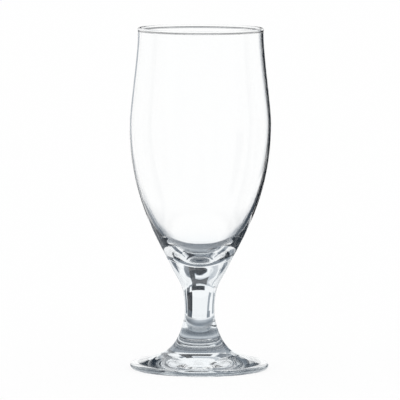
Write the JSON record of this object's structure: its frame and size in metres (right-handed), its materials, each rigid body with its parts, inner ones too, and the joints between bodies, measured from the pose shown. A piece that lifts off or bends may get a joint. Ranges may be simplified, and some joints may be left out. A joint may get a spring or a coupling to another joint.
{
  "type": "stemmed beer glass",
  "caption": "Clear chalice beer glass: a tall bowl that swells to a belly and has a beaded lip, on a short waisted stem and a round domed foot.",
  "frame": {"origin": "middle of the foot, on the plane of the ring that stands on the table", "axes": "+Z along the glass's axis, from the foot up to the lip; the glass is round, so +X and +Y are free"},
  "size_m": [0.077, 0.077, 0.186],
  "materials": {
    "clear_glass": "fire-polished clear soda-lime glass"
  },
  "bodies": {
    "root": {"bowl": "clear_glass", "stem": "clear_glass", "foot": "clear_glass"}
  },
  "joints": []
}
